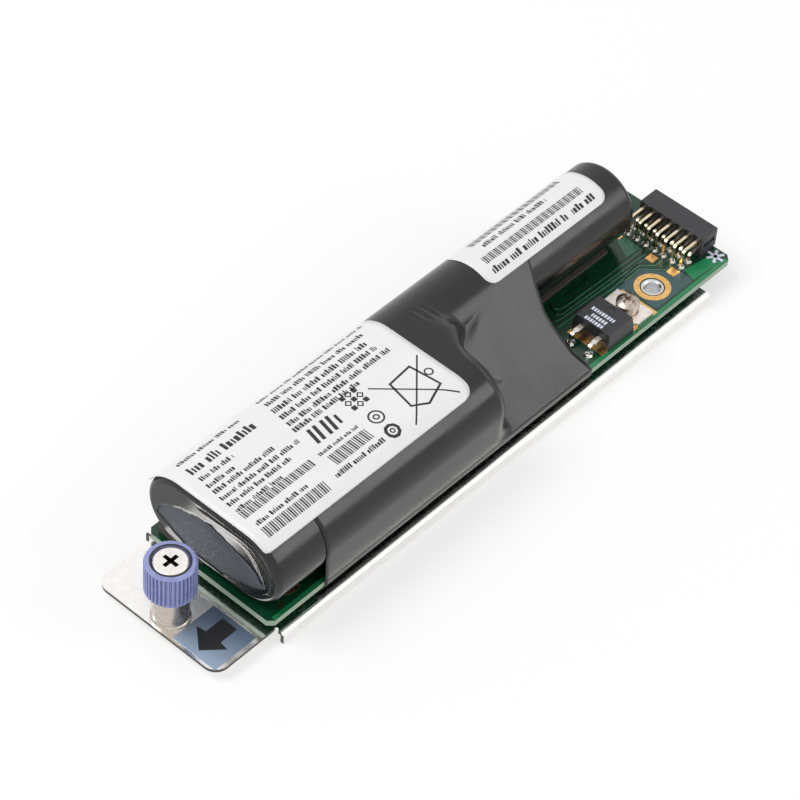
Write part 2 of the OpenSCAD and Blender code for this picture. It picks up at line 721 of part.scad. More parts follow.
// Rings run round the tube; the last inner ring joins back to the first outer one
module ring_tube(rings) {
    n = len(rings[0]);
    polyhedron([for (r = rings, p = r) p], tube_faces(n, len(rings)), convexity = 6);
}

angles = [for (a = [0 : 6 : 354]) a + 3];
function stadium_ring(x, r) = [for (a = angles)
    let (p = furthest([[-cell_y, cell_z, r], [cell_y, cell_z, r]], a)) [x, p[0], p[1]]];

// Lens outline between two arcs, placed on the pack's front face
lens_y = 2.4;
lens_z = cell_z - 2.7;
lens_ring_r = (pow(lens_w / 2, 2) + pow(lens_h / 2, 2)) / lens_h;
function lens_reach(a) =
    let (k = lens_ring_r - lens_h / 2)
    sqrt(pow(lens_ring_r, 2) - pow(k * cos(a), 2)) - k * abs(sin(a));
function lens_ring(x) = [for (a = angles)
    [x, lens_y + lens_reach(a) * cos(a), lens_z + lens_reach(a) * sin(a)]];

// Sleeve round the two front cells: straight wall, rounded fold, face that ends at the lens
module front_sleeve() {
    bends = [0, 30, 60, 90];
    t = sleeve_t;
    outer = concat([stadium_ring(front_cell_x1, sleeve_r)],
        [for (b = bends) stadium_ring(pack_x0 + fold_r * (1 - sin(b)), sleeve_r - fold_r * (1 - cos(b)))],
        [lens_ring(pack_x0)]);
    inner = concat([lens_ring(pack_x0 + t)],
        [for (b = [90, 60, 30, 0])
            stadium_ring(pack_x0 + fold_r - (fold_r - t) * sin(b), sleeve_r - fold_r + (fold_r - t) * cos(b))],
        [stadium_ring(front_cell_x1, sleeve_r - t)]);
    color("#2b2b2b") place() ring_tube(concat(outer, inner));
}

// Sleeve round the rear cell: a tube whose rear end is folded over the insulator
module rear_sleeve() {
    l = pack_x1 - rear_cell_x0;
    lip = 3;
    color("#2b2b2b") place() difference() {
        translate([0, cell_y, cell_z]) revolve_x(rear_cell_x0) difference() {
            rounded_bar(sleeve_r, l, fold_r);
            rounded_bar(sleeve_r - sleeve_t, l - sleeve_t, fold_r - sleeve_t);
            square([sleeve_r - fold_r - lip, 2 * l]);
        }
        translate([rear_leg_x - slip, cell_y - tail_w / 2 - slip, board_z1])
            cube([link_t + 2 * slip, tail_w + 2 * slip, cell_z - board_z1]);
    }
}
module rounded_bar(r, l, f) {
    square([r, l - f]);
    square([r - f, l]);
    translate([r - f, l - f]) circle(f);
}

// Outer film round cells and board: past the near cell it falls as a tent to the board's edge
function fall(x) = let (t = max(0, min(1, (x - front_cell_x1) / film_fall))) t * t * (3 - 2 * t);
function film_shapes(x) =
    let (f = fall(x), h = board_w / 2 - 0.1, q = 0.1 + slip, low = board_z1 + 0.2)
    [[cell_y, cell_z, film_in_r],
     [-cell_y * (1 - f) - (h - 0.6) * f, cell_z * (1 - f) + low * f, film_in_r * (1 - f) + 0.5 * f],
     [h, board_z0 + 0.1, q], [-h, board_z0 + 0.1, q], [h, board_z1 - 0.1, q], [-h, board_z1 - 0.1, q]];
function film_ring(x, t) = [for (a = angles)
    let (p = furthest(film_shapes(x), a)) [x, p[0] + t * cos(a), p[1] + t * sin(a)]];

module outer_film() {
    steps = 8;
    xs = concat([film_x0], [for (i = [0 : steps]) front_cell_x1 + i * film_fall / steps], [film_x1]);
    back = [for (i = [len(xs) - 1 : -1 : 0]) xs[i]];
    color("#3a3a3a") place()
        ring_tube(concat([for (x = back) film_ring(x, film_t)], [for (x = xs) film_ring(x, 0)]));
}

// ---- Labels ----

// Where each label's long edges lie round the cells, counted from +Y
rating_angles = [22, 126];
small_angles = [38, 128];

// Part of a thin ring round a cell, between two angles
module ring_part(y, r, a0, a1) {
    far = 2 * r;
    mid = (a0 + a1) / 2;
    translate([y, cell_z]) intersection() {
        difference() {
            circle(r + label_t);
            circle(r);
        }
        polygon([[0, 0], [far * cos(a0), far * sin(a0)], [far * cos(mid), far * sin(mid)],
                 [far * cos(a1), far * sin(a1)]]);
    }
}

module rating_label() {
    color("#e6e6e6") place() along_x(pack_x0, label_l) {
        ring_part(cell_y, label_in_r, rating_angles[0], 90);
        ring_part(-cell_y, label_in_r, 90, rating_angles[1]);
        translate([-cell_y, cell_z + label_in_r]) square([cell_pitch, label_t]);
    }
}

module small_label() {
    color("#ececf4") place() along_x(pack_x1 - small_label_back - small_label_l, small_label_l)
        ring_part(cell_y, label_in_r, small_angles[0], small_angles[1]);
}

module arrow_sticker() {
    edge = 0.6;
    color("#8494a8") place() translate([edge, edge + 0.4 - tab_w / 2, tray_h])
        cube([sticker_side, sticker_side, label_t]);
}

tray();
standoffs();
ferrule();
knob();
captive_screw();
retaining_ring();
screw_spring();
circuit_board();
gold_pads();
connector_housing();
upper_contacts();
lower_contacts();
solder_joints();
resistor_body();
resistor_tab();
resistor_leads();
resistor_screw();
lock_washer();
resistor_nut();
near_cell();
far_cell();
rear_cell();
front_link();
middle_link();
rear_link();
front_insulator();
middle_insulator();
rear_insulator();
foam_cradles();
front_sleeve();
rear_sleeve();
outer_film();
rating_label();
small_label();
arrow_sticker();
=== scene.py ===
"""Backup battery module: what the eye sees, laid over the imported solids.

Shapes are written in millimetres in the tray's own frame: x from the tab's front edge,
y from the centre line, z from the flanges' lower edges. place() moves them into the row frame.
"""
from math import radians, cos, sin, pi

import bpy
import numpy as np
from mathutils import Matrix, Vector
from mathutils.bvhtree import BVHTree


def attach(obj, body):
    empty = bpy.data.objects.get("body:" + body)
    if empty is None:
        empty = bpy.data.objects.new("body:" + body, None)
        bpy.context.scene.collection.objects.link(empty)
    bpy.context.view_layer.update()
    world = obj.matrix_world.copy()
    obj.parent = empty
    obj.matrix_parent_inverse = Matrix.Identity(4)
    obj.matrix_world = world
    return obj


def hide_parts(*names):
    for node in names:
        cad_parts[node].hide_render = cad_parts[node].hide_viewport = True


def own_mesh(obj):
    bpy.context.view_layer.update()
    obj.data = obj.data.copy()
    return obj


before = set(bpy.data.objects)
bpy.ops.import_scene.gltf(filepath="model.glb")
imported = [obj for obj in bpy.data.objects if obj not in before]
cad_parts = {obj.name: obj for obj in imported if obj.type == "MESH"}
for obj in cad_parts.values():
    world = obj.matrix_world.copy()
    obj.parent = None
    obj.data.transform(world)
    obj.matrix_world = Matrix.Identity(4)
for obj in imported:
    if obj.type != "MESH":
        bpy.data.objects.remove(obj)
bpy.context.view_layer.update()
MM = 0.001
scene = bpy.context.scene

# ---- Sizes from the solids, in millimetres ----

X_MID = 81.395          # the row frame's origin, counted from the tab's front edge
SCREW_X = 4.4           # axis of the thumbscrew
KNOB_TOP, SPRING_FOOT = 20.0, 3.9
TRAY_TOP = 2.9
BOARD_LOW, BOARD_TOP = 4.5, 6.1
BOARD_X0, BOARD_X1 = 15.1, 163.64
BOARD_HALF = 17.5
CELL_Y, CELL_Z = 9.25, 16.3
PACK_X0, FRONT_X1 = 15.9, 81.72
SLEEVE_R = 9.25
FILM_IN, FILM_T = 9.30, 0.15
FILM_X0, FILM_X1 = 29.7, 116.24
POCKET_X0, POCKET_X1 = 82.3, 88.6       # where the film falls past the near cell
REAR_BORE = (143.64, -10.9)             # the standoff whose bore shows
LABEL_R = 9.50
RESISTOR_TOP = 10.68


def place(points):
    """Tray frame in millimetres to the row frame in metres: x less X_MID, then all times 0.001."""
    return (np.asarray(points, float) - (X_MID, 0, 0)) * MM


# ---- Camera ----

def aim_camera(target, azimuth, elevation, distance, roll, lens):
    """Camera on a sphere round the target; its right and up axes are then turned by the roll."""
    a, e, r = radians(azimuth), radians(elevation), radians(roll)
    back = Vector((sin(a) * cos(e), -cos(a) * cos(e), sin(e)))
    right = Vector((cos(a), sin(a), 0))
    up = back.cross(right)
    right, up = right * cos(r) + up * sin(r), up * cos(r) - right * sin(r)
    data = bpy.data.cameras.new("camera")
    data.lens, data.sensor_width, data.clip_start, data.clip_end = lens, 36, 0.01, 20
    obj = bpy.data.objects.new("camera", data)
    scene.collection.objects.link(obj)
    turn = Matrix((right, up, back)).transposed().to_4x4()
    obj.matrix_world = Matrix.Translation(Vector(place(target)) + back * distance) @ turn
    scene.camera = obj


aim_camera((79.535, 6.169, 5.0), -50.926, 46.626, 0.70405, 4.388, 148.744)

# ---- Materials ----


def linear(hex_colour):
    """sRGB hex to linear RGBA: each channel by the sRGB curve."""
    c = np.array([int(hex_colour[i:i + 2], 16) for i in (1, 3, 5)]) / 255
    return (*np.where(c <= 0.04045, c / 12.92, ((c + 0.055) / 1.055) ** 2.4), 1.0)


def add(tree, kind, inputs=None, **settings):
    """Adds a node: settings are its properties, inputs are socket values or links into them."""
    node = tree.nodes.new(kind)
    for key, value in settings.items():
        setattr(node, key, value)
    for key, value in (inputs or {}).items():
        if isinstance(value, bpy.types.NodeSocket):
            tree.links.new(value, node.inputs[key])
        else:
            node.inputs[key].default_value = value
    return node


def finish(name, tones, rough, metal=0.0, mottle_mm=3.0, grain_mm=0.3, grain_depth=0.0,
           stretch=(1, 1, 1), sockets=None):
    """A material whose colour runs between two tones with broad mottling, whose roughness runs from
    rough[0] to rough[1] with it, and whose surface has grain of a size and depth in millimetres.
    Returns the material, its tree, shader, position and mottling sockets."""
    mat = bpy.data.materials.new(name)
    mat.use_nodes = True
    tree = mat.node_tree
    shader = tree.nodes["Principled BSDF"]
    where = add(tree, "ShaderNodeTexCoord").outputs["Object"]
    spread = add(tree, "ShaderNodeMapping", {"Vector": where, "Scale": stretch}).outputs[0]
    broad = add(tree, "ShaderNodeTexNoise", {"Vector": spread, "Scale": 1000 / mottle_mm,
                                             "Detail": 3.0, "Roughness": 0.6})
    blur = add(tree, "ShaderNodeMapRange", {"Value": broad.outputs[0], "From Min": 0.3,
                                            "From Max": 0.7})
    colour = add(tree, "ShaderNodeMix", {"Factor": blur.outputs[0], "A": linear(tones[0]),
                                         "B": linear(tones[1])}, data_type="RGBA")
    tree.links.new(colour.outputs["Result"], shader.inputs["Base Color"])
    gloss = add(tree, "ShaderNodeMapRange", {"Value": broad.outputs[0], "From Min": 0.3,
                                             "From Max": 0.7, "To Min": rough[0],
                                             "To Max": rough[1]})
    tree.links.new(gloss.outputs[0], shader.inputs["Roughness"])
    shader.inputs["Metallic"].default_value = metal
    if grain_depth:
        fine = add(tree, "ShaderNodeTexNoise", {"Vector": spread, "Scale": 1000 / grain_mm,
                                                "Detail": 2.0})
        bump = add(tree, "ShaderNodeBump", {"Height": fine.outputs[0], "Strength": 1.0,
                                            "Distance": grain_depth * MM})
        tree.links.new(bump.outputs[0], shader.inputs["Normal"])
    for key, value in (sockets or {}).items():
        shader.inputs[key].default_value = value
    return mat, tree, shader, where, blur.outputs[0]


# Bright zinc plate on cold rolled sheet: near mirror, with a fine grain and faint spangle
ZINC, tree, shader, where, _ = finish(
    "bright zinc plated steel", ["#f1f0ee", "#fbfaf8"], (0.14, 0.24), 1.0,
    mottle_mm=1.1, grain_mm=0.3, grain_depth=0.0018)
# The tab's upright faces in front of the flanges are coloured darker than the plate
side = add(tree, "ShaderNodeSeparateXYZ", {0: add(tree, "ShaderNodeNewGeometry").outputs["Normal"]})
upright = add(tree, "ShaderNodeMath", {0: side.outputs[2], 1: 0.0, 2: 0.5}, operation="COMPARE")
along = add(tree, "ShaderNodeSeparateXYZ", {0: where}).outputs[0]
front = add(tree, "ShaderNodeMath", {0: along, 1: (16.9 - X_MID) * MM}, operation="LESS_THAN")
cut = add(tree, "ShaderNodeMath", {0: upright.outputs[0], 1: front.outputs[0]},
          operation="MULTIPLY")
plate = shader.inputs["Base Color"].links[0].from_socket
darker_front = add(tree, "ShaderNodeMix", {"Factor": cut.outputs[0], "A": plate,
                                   "B": linear("#55524f")}, data_type="RGBA")
tree.links.new(darker_front.outputs["Result"], shader.inputs["Base Color"])
NICKEL = finish("turned nickel plated steel", ["#b5aaa0", "#cfc6bd"], (0.2, 0.32), 1.0,
                mottle_mm=1.5, grain_mm=0.25, grain_depth=0.003, stretch=(1, 1, 5))[0]
# Satin plate on the screw, with painted shade in the cross recess and round the head's side
SATIN_STEEL, tree, shader, where, _ = finish(
    "satin nickel plated steel", ["#e6e0da", "#f4f0ec"], (0.3, 0.42), 1.0,
    mottle_mm=1.2, grain_mm=0.2, grain_depth=0.002)
height = add(tree, "ShaderNodeSeparateXYZ", {0: where}).outputs[2]
# Band of heights given painted shade: the cross recess and the head's side
inside = add(tree, "ShaderNodeMath", {0: height, 1: 18.75 * MM, 2: 0.95 * MM}, operation="COMPARE")
plate = shader.inputs["Base Color"].links[0].from_socket
recess_shade = add(tree, "ShaderNodeMix", {"Factor": inside.outputs[0], "A": plate,
                                    "B": linear("#2c2420")}, data_type="RGBA")
tree.links.new(recess_shade.outputs["Result"], shader.inputs["Base Color"])
SPRING_WIRE = finish("drawn spring wire", ["#77777a", "#9a9a9c"], (0.3, 0.4), 1.0)[0]
STANDOFF = finish("tin plated turned brass", ["#c4c6c8", "#dfe0e1"], (0.22, 0.34), 1.0,
                  mottle_mm=1.2)[0]
ANODISED = finish("lavender anodised aluminium", ["#8189ba", "#969dca"], (0.34, 0.44), 0.2,
                  mottle_mm=1.6, grain_mm=0.15, grain_depth=0.004)[0]
MASK_EDGE = finish("cut glass laminate", ["#7f9580", "#a9bba4"], (0.5, 0.7),
                   mottle_mm=0.5, stretch=(1, 1, 6), grain_mm=0.15, grain_depth=0.01)[0]
MASK = finish("dark green solder mask", ["#08321f", "#0c3e28"], (0.16, 0.26),
              mottle_mm=4, grain_mm=0.4, grain_depth=0.003)[0]
TRACE = finish("solder mask over copper", ["#2f6e54", "#3f8066"], (0.15, 0.24),
               mottle_mm=3)[0]
POUR = finish("solder mask over a ground plane", ["#2d4a4b", "#3e5a5c"], (0.2, 0.3),
              mottle_mm=3)[0]
BORDER = finish("solder mask over the edge copper", ["#127044", "#1c8150"], (0.2, 0.3),
                mottle_mm=3)[0]
# Darker mask, drawn along one side of each trace and along a few more lines
DARK_MASK = finish("darker solder mask lines", ["#031a10", "#05241a"], (0.25, 0.35), mottle_mm=2)[0]
GOLD = finish("gold flash on copper", ["#d9a25c", "#f0c987"], (0.22, 0.36), 1.0,
              mottle_mm=0.9)[0]
NYLON = finish("moulded black nylon", ["#252527", "#323234"], (0.42, 0.55),
               mottle_mm=2, grain_mm=0.2, grain_depth=0.006)[0]
EPOXY = finish("moulded epoxy", ["#202022", "#2c2c2f"], (0.4, 0.5),
               mottle_mm=1.2, grain_mm=0.12, grain_depth=0.006)[0]
TINNED = finish("tinned copper", ["#d8d0c8", "#f2ebe4"], (0.2, 0.35), 1.0, mottle_mm=1)[0]
CONTACT = finish("gold flashed contact wire", ["#d6c29a", "#eadfc8"], (0.2, 0.3), 1.0,
                 mottle_mm=0.8)[0]
SOLDER = finish("bright solder", ["#c3c0ba", "#dedbd5"], (0.18, 0.3), 1.0, mottle_mm=0.5)[0]
SCREW = finish("nickel plated screw steel", ["#a2958a", "#c6bab0"], (0.22, 0.36), 1.0,
               mottle_mm=0.8)[0]
# The cells' own wrap is hidden; it is black as painted shade, so that the pocket behind the front opening
# stays dark
CELL_WRAP_AS_SHADE = finish("cell wrap blacked for painted shade", ["#17181a", "#202226"], (0.25, 0.35))[0]
STRIP = finish("nickel strip", ["#b9b9b6", "#d0d0cc"], (0.25, 0.4), 1.0)[0]
FIBRE = finish("vulcanised fibre", ["#43474e", "#555a63"], (0.5, 0.7), mottle_mm=0.6,
               grain_mm=0.18, grain_depth=0.02)[0]
FOAM = finish("closed cell foam", ["#3b3632", "#57504a"], (0.8, 0.95), mottle_mm=0.6,
              grain_mm=0.35, grain_depth=0.06)[0]
# Heat-shrink film: jet black and glossy, with the slow ripple of shrunk plastic
FILM = finish("black heat shrink film", ["#0c0c0c", "#131313"], (0.17, 0.27),
              mottle_mm=9, grain_mm=2.6, grain_depth=0.012, sockets={"Specular IOR Level": 0.5})[0]
PAPER = finish("coated white label paper", ["#e0e0e0", "#e4e4e4"], (0.34, 0.44),
               mottle_mm=6, grain_mm=0.25, grain_depth=0.003)[0]
INK = finish("black thermal print", ["#121214", "#1d1d20"], (0.35, 0.45), mottle_mm=1)[0]
LEGEND = finish("pale screen printed ink", ["#cfcfe4", "#e3e3f2"], (0.4, 0.5),
                mottle_mm=0.6)[0]

# Blue-grey polyester label, paler towards the tab's front
STICKER, tree, shader, where, _ = finish(
    "printed polyester label", ["#5f6f85", "#5f6f85"], (0.16, 0.24), mottle_mm=5)
along = add(tree, "ShaderNodeSeparateXYZ", {0: where}).outputs[0]
shade = add(tree, "ShaderNodeMapRange", {"Value": along, "From Min": (0.6 - X_MID) * MM,
                                         "From Max": (12.4 - X_MID) * MM})
fade = add(tree, "ShaderNodeMix", {"Factor": shade.outputs[0], "A": linear("#93a4b9"),
                                   "B": linear("#4f5e75")}, data_type="RGBA")
tree.links.new(fade.outputs["Result"], shader.inputs["Base Color"])

NODE_FINISH = {
    "tray": ZINC, "standoffs": STANDOFF, "ferrule": NICKEL, "knob": ANODISED,
    "captive_screw": SATIN_STEEL, "retaining_ring": SPRING_WIRE, "screw_spring": SPRING_WIRE,
    "circuit_board": MASK, "gold_pads": GOLD, "connector_housing": NYLON,
    "upper_contacts": CONTACT, "lower_contacts": CONTACT, "solder_joints": SOLDER,
    "resistor_body": EPOXY, "resistor_tab": TINNED, "resistor_leads": TINNED,
    "resistor_screw": SCREW, "lock_washer": SCREW, "resistor_nut": SCREW,
    "near_cell": CELL_WRAP_AS_SHADE, "far_cell": CELL_WRAP_AS_SHADE, "rear_cell": CELL_WRAP_AS_SHADE,
    "front_link": STRIP, "middle_link": STRIP, "rear_link": STRIP,
    "front_insulator": FIBRE, "middle_insulator": FIBRE, "rear_insulator": FIBRE,
    "foam_cradles": FOAM, "front_sleeve": FILM, "rear_sleeve": FILM, "outer_film": FILM,
    "rating_label": PAPER, "small_label": PAPER, "arrow_sticker": STICKER}
for node, material in NODE_FINISH.items():
    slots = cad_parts[node].material_slots
    if not slots:
        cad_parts[node].data.materials.append(material)
    for place_for in slots:
        place_for.material = material

# ---- Mesh making ----


def piece(name, points, faces, materials, picks=None, body="module", smooth=True, replaces=()):
    """Puts points (tray frame, millimetres) and faces in a new object that rides on a body."""
    mesh = bpy.data.meshes.new(name)
    mesh.from_pydata(place(points).tolist(), [], [list(map(int, f)) for f in faces])
    mesh.update()
    for material in (materials if isinstance(materials, (list, tuple)) else [materials]):
        mesh.materials.append(material)
    if picks is not None:
        mesh.polygons.foreach_set("material_index", np.asarray(picks, dtype=np.int32))
    mesh.polygons.foreach_set("use_smooth", np.full(len(mesh.polygons), smooth))
    obj = bpy.data.objects.new(name, mesh)
    scene.collection.objects.link(obj)
    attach(obj, body)
    if replaces:
        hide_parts(*replaces)
    return obj


def grid_faces(n, m, wrap_n=False, wrap_m=False, start=0):
    """Quads of an n by m grid of points, stored row by row; either way may close on itself."""
    i, j = np.meshgrid(np.arange(n if wrap_n else n - 1), np.arange(m if wrap_m else m - 1),
                       indexing="ij")
    i2, j2 = (i + 1) % n, (j + 1) % m
    quads = np.stack([i * m + j, i2 * m + j, i2 * m + j2, i * m + j2], axis=-1)
    return quads.reshape(-1, 4) + start


def smoothstep(t):
    """0 below 0, 1 above 1, and 3t^2 - 2t^3 between."""
    t = np.clip(t, 0, 1)
    return t * t * (3 - 2 * t)


# ---- Spring inside the ferrule ----


def screw_spring():
    """Round wire along a helix: centre (coil cos a, coil sin a, low + rise a / (2 pi turns)), ends
    capped."""
    turns, per_turn, sides, wire = 4, 24, 8, 0.2
    coil, rise, low = 2.225, 5.85, SPRING_FOOT + 0.25
    a = np.arange(turns * per_turn + 1)[:, None] / per_turn * 2 * pi
    b = np.arange(sides)[None, :] / sides * 2 * pi
    r = coil + wire * np.cos(b)
    points = np.stack([SCREW_X + r * np.cos(a), r * np.sin(a),
                       low + rise * a / (2 * pi * turns) + wire * np.sin(b)], axis=-1)
    last = points.shape[0] * sides
    faces = grid_faces(points.shape[0], sides, False, True).tolist()
    faces += [list(range(sides)), list(range(last - 1, last - sides - 1, -1))]
    obj = piece("spring_wire", points.reshape(-1, 3), faces, SPRING_WIRE,
                replaces=("screw_spring",))
    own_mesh(obj)


screw_spring()

# ---- Black film ----


def resample(line, n, closed_end=True):
    """n points at equal steps of arc length along a polyline; the last is kept or left to the
    next segment."""
    line = np.asarray(line, float)
    run = np.concatenate([[0], np.cumsum(np.hypot(*np.diff(line, axis=0).T))])
    at = np.linspace(0, run[-1], n, endpoint=closed_end)
    return np.stack([np.interp(at, run, line[:, k]) for k in (0, 1)], axis=1)


def arc(y, r, a0, a1, n=40):
    """Points of a cell's circle from angle a0 to a1, in degrees counted from +Y."""
    a = np.radians(np.linspace(a0, a1, n))
    return np.stack([y + r * np.cos(a), CELL_Z + r * np.sin(a)], axis=1)


SEGMENTS = (44, 56, 40, 90, 6)       # points under the board, far side, top, near side, board edge
EDGE_Y, EDGE_LOW, EDGE_TOP = BOARD_HALF + 0.06, BOARD_LOW - 0.06, BOARD_TOP + 0.05


def film_section(leave, tent, sag):
    """One cross-section of the outer film, as points in y and z. Where tent is 0 the film lies
    over both cells; where it is 1 it follows the far cell to the angle leave and runs straight
    to the board's near edge, hanging by sag in the middle."""
    top = CELL_Z + FILM_IN
    under = resample([(-EDGE_Y, EDGE_LOW), (EDGE_Y, EDGE_LOW)], SEGMENTS[0], False)
    far = np.vstack([[(EDGE_Y, EDGE_LOW), (EDGE_Y, EDGE_TOP)], arc(CELL_Y, FILM_IN, -5.6, 90)])
    far = resample(far, SEGMENTS[1], False)
    if tent:
        over = arc(CELL_Y, FILM_IN, 90, leave)
        start, stop = over[-1], np.array([-EDGE_Y, EDGE_TOP])
        w = np.linspace(0, 1, 60)[:, None]
        near = start + (stop - start) * w - np.array([0, sag]) * np.sin(pi * w)
    else:
        over = np.array([(CELL_Y, top), (1.5, top)])
        near = np.vstack([[(1.5, top)], arc(-CELL_Y, FILM_IN, 90, 185.6), [(-EDGE_Y, EDGE_TOP)]])
    edge = resample([(-EDGE_Y, EDGE_TOP), (-EDGE_Y, EDGE_LOW)], SEGMENTS[4], False)
    return np.vstack([under, far, resample(over, SEGMENTS[2], False),
                      resample(near, SEGMENTS[3], False), edge])


def outer_film():
    """Rings of the film's section from its front edge to its rear edge. Past the near cell's end
    the ring over both cells turns into the tent's ring: it stays high at first and then falls
    steeply, b = s^2.2, with gathered pleats where the spare film is folded in."""
    count = sum(SEGMENTS)
    over0, near0, edge0 = np.cumsum(SEGMENTS)[1:4]
    w = np.zeros(count)                               # 0 at the valley, 1 at the board's edge
    w[near0:edge0] = np.arange(SEGMENTS[3]) / SEGMENTS[3]
    w[edge0:] = 1
    top = np.zeros(count)                             # 0 at the far cell's top, 1 at the valley
    top[over0:near0] = np.arange(SEGMENTS[2]) / SEGMENTS[2]
    top[near0:] = 1
    is_near = np.arange(count) >= near0
    bump = np.exp(-(w / 0.16) ** 2) * top
    x_start = POCKET_X0 + 3.2 * bump
    x_end = POCKET_X1 + 4.2 * np.where(is_near, np.exp(-(w / 0.12) ** 2), top)
    x_rear = np.where(is_near, np.interp(w, (0, .1, .2, .4, .55, .8, 1),
                                         (116.2, 115.3, 114.3, 112.6, 112.4, 112.9, 114.8)), 116.2)
    x_rear = np.where(np.arange(count) < SEGMENTS[0], 115.0, x_rear)
    x_front = FILM_X0 + 1.0 * smoothstep((w - 0.72) / 0.28)
    flat = film_section(0, 0, 0)
    rings, xs = [], []
    for t in (0, 0.02, 0.2, 0.4, 0.6, 0.8, 0.9, 1):
        rings.append(flat)
        xs.append(x_front + (x_start - x_front) * t)
    first = film_section(150, 1, 0.3)
    for s in np.linspace(0, 1, 26)[1:]:
        b = s ** 2.2
        ring = flat + (first - flat) * b
        pleat = np.exp(-((w - 0.46) / 0.2) ** 2) * is_near * np.clip(6 * s * (1 - s), 0, 1)
        lift = 0.42 * pleat * np.sin(2 * pi * (2.7 * s + 0.9 * w))
        wrinkle = np.exp(-((top - 0.25) / 0.3) ** 2) * ~is_near * (top > 0) * 4 * s * (1 - s)
        lift = lift + 0.16 * wrinkle * np.sin(2 * pi * (3.4 * s + 1.5 * top))
        rings.append(ring + lift[:, None] * (0.35, 0.94))
        xs.append(x_start + (x_end - x_start) * s)
    for t in np.linspace(0, 1, 34)[1:]:
        x = POCKET_X1 + (FILM_X1 - POCKET_X1) * t
        leave = 129.5 + 20.5 * (1 - smoothstep((x - 88) / 15))
        rings.append(film_section(leave, 1, 0.3 + 0.25 * sin(pi * t)))
        xs.append(x_end + (x_rear - x_end) * t)
    rings, xs = np.array(rings), np.array(xs)
    points = np.concatenate([xs[:, :, None], rings], axis=2)
    points, faces = points.reshape(-1, 3), grid_faces(len(rings), count, False, True)[:, ::-1]
    obj = piece("outer_film_skin", points, faces, FILM, replaces=("outer_film",))
    wall = obj.modifiers.new("wall", "SOLIDIFY")
    wall.thickness, wall.offset = FILM_T * MM, 1.0
    return BVHTree.FromPolygons(points.tolist(), faces.tolist())


film_tree = outer_film()

# Opening of the front sleeve's face, and the fibre window behind it: (y, z) round the outline
FACE_CENTRE = np.array([0.6, 14.8])
OPENING = np.array([(15.6, 13.1), (14.9, 15.0), (13.1, 16.7), (10.3, 18.1), (6.1, 19.4),
                    (1.9, 20.6), (-0.9, 21.1), (-3.6, 21.5), (-6.4, 21.6), (-9.2, 21.2), (-11.1, 19.8),
                    (-12.8, 17.5), (-14.6, 13.6), (-12.2, 11.8), (-8, 10.3), (-3.9, 9.0),
                    (0.3, 8.2), (4.5, 8.5), (8.8, 10.0), (12.2, 11.5)])
WINDOW = np.array([(17.0, 13.0), (15.1, 14.2), (13.1, 17.2), (10.3, 18.6), (6.1, 19.9), (1.9, 20.3),
                   (-0.9, 19.6), (-3.7, 18.8), (-6.5, 18.1), (-9.3, 17.3), (-12.0, 16.0),
                   (-13.2, 14.2), (-15.2, 13.2), (-12.2, 10.8), (-8, 9.3), (-3.9, 8.6),
                   (0.3, 8.65), (4.5, 8.7), (8.8, 9.0), (12.2, 10.5)])


def polar(outline, angles):
    """Distance of a closed outline from FACE_CENTRE in each direction."""
    d = outline - FACE_CENTRE
    a, r = np.arctan2(d[:, 1], d[:, 0]) % (2 * pi), np.hypot(*d.T)
    order = np.argsort(a)
    return np.interp(angles, a[order], r[order], period=2 * pi)


def stadium(r):
    """Dense outline round both front cells at radius r."""
    top = np.linspace((CELL_Y, CELL_Z + r), (-CELL_Y, CELL_Z + r), 60)
    low = np.linspace((-CELL_Y, CELL_Z - r), (CELL_Y, CELL_Z - r), 60)
    return np.vstack([arc(CELL_Y, r, -90, 90, 120), top, arc(-CELL_Y, r, 90, 270, 120), low])


def front_sleeve():
    """Rings about FACE_CENTRE: the straight wall, the fold, the face with a slit and a raised lip
    on the near side, then the opening's edge and a shallow pocket closed behind it by black film
    as painted shade."""
    n = 300
    angles = np.arange(n) / n * 2 * pi
    ray = np.stack([np.cos(angles), np.sin(angles)], axis=1)
    near = smoothstep((np.degrees(angles) - 62) / 25) * smoothstep((196 - np.degrees(angles)) / 18)
    fold = 1.6
    hole = polar(OPENING, angles)
    rings, xs = [], []

    def ring(distance, x):
        rings.append(FACE_CENTRE + ray * distance[:, None])
        xs.append(np.broadcast_to(x, n))

    for x in (FRONT_X1, 60, 40, 25, 20, PACK_X0 + fold):
        ring(polar(stadium(SLEEVE_R), angles), x)
    for b in np.radians((15, 30, 45, 60, 75, 90)):
        ring(polar(stadium(SLEEVE_R - fold * (1 - cos(b))), angles), PACK_X0 + fold * (1 - sin(b)))
    rim = polar(stadium(SLEEVE_R - fold), angles)
    face = ((0.05, 0), (0.09, 0.12), (0.13, 0.28), (0.18, 0.38), (0.23, 0.34), (0.28, 0.2), (0.33, 0.1),
            (0.38, 0), (0.5, 0.05), (0.7, 0.09), (0.85, 0.1), (1, 0.08))
    for share, step in face:
        ring(rim + (hole - rim) * share, PACK_X0 + 0.02 + step * near)
    # Black film closing the opening a little way in: painted shade standing for the deep, dark pocket
    for back, share in ((0.12, 1.0), (0.24, 0.99), (0.3, 0.9), (0.3, 0.5), (0.3, 0.02)):
        ring(hole * share, PACK_X0 + 0.1 + back)
    points = np.concatenate([np.array(xs)[:, :, None], np.array(rings)], axis=2)
    piece("front_sleeve_skin", points.reshape(-1, 3), grid_faces(len(rings), n, False, True), FILM,
          replaces=("front_sleeve",))


front_sleeve()


